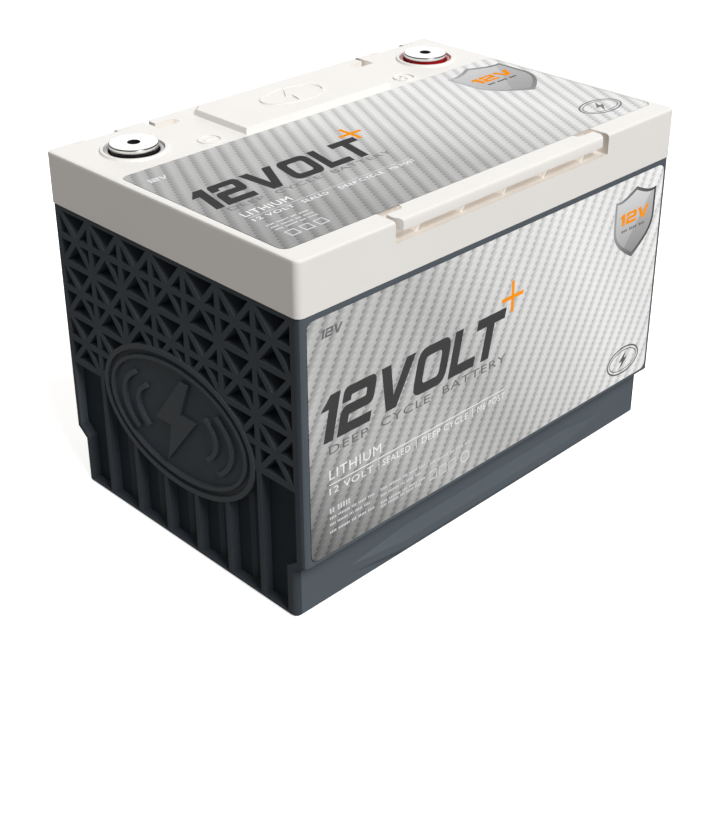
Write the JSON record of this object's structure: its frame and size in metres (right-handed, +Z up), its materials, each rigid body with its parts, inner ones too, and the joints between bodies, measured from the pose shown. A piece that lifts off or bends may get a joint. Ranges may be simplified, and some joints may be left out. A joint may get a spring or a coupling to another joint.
{
  "type": "deep cycle battery",
  "caption": "Sealed deep cycle battery with a ribbed dark case, pale lid with moulded lift bars, two flush screw terminals and silver woven-pattern labels.",
  "frame": {"origin": "centre of the battery's bounding box, on the plane its base stands on", "axes": "+X along the length, from the negative terminal's end to the positive terminal's end; -Y out of the labelled front, with the terminals along the back; +Z up"},
  "size_m": [0.26, 0.175, 0.1855],
  "materials": {
    "case_plastic": "fine satin texture",
    "lid_plastic": "fine satin texture",
    "label_film": "silver film printed with a woven pattern",
    "terminal_plating": "bright nickel plating over turned brass",
    "negative_ring": "gloss black",
    "positive_ring": "gloss red",
    "cell_can": "drawn satin",
    "spacer_plastic": "natural nylon",
    "plate_metal": "dark anodised",
    "rod_steel": "zinc plated",
    "link_metal": "bright rolled",
    "lead_copper": "bare copper colour",
    "mat_rubber": "matt",
    "filler_foam": "rigid closed foam",
    "board": "green lacquered board",
    "plug": "ivory moulding"
  },
  "bodies": {
    "root": {"back_label": "label_film", "base_mat": "mat_rubber", "board_heat_bar": "plate_metal", "board_plug": "plug", "board_post_1": "spacer_plastic", "board_post_2": "spacer_plastic", "board_post_3": "spacer_plastic", "board_post_4": "spacer_plastic", "board_tray": "spacer_plastic", "case": "case_plastic", "cell_1": "cell_can", "cell_2": "cell_can", "cell_3": "cell_can", "cell_4": "cell_can", "cell_5": "cell_can", "cell_link_1": "link_metal", "cell_link_2": "link_metal", "cell_link_3": "link_metal", "cell_link_4": "link_metal", "cell_spacer_1": "spacer_plastic", "cell_spacer_2": "spacer_plastic", "cell_spacer_3": "spacer_plastic", "cell_spacer_4": "spacer_plastic", "end_plate_left": "plate_metal", "end_plate_right": "plate_metal", "filler_block_left": "filler_foam", "filler_block_right": "filler_foam", "front_label": "label_film", "lid": "lid_plastic", "management_board": "board", "negative_lead": "lead_copper", "negative_stud_nut": "rod_steel", "negative_terminal": "terminal_plating", "negative_terminal_ring": "negative_ring", "positive_lead": "lead_copper", "positive_stud_nut": "rod_steel", "positive_terminal": "terminal_plating", "positive_terminal_ring": "positive_ring", "tie_nut_1": "rod_steel", "tie_nut_2": "rod_steel", "tie_nut_3": "rod_steel", "tie_nut_4": "rod_steel", "tie_rod_1": "rod_steel", "tie_rod_2": "rod_steel", "tie_rod_3": "rod_steel", "tie_rod_4": "rod_steel", "top_label": "label_film"}
  },
  "joints": []
}
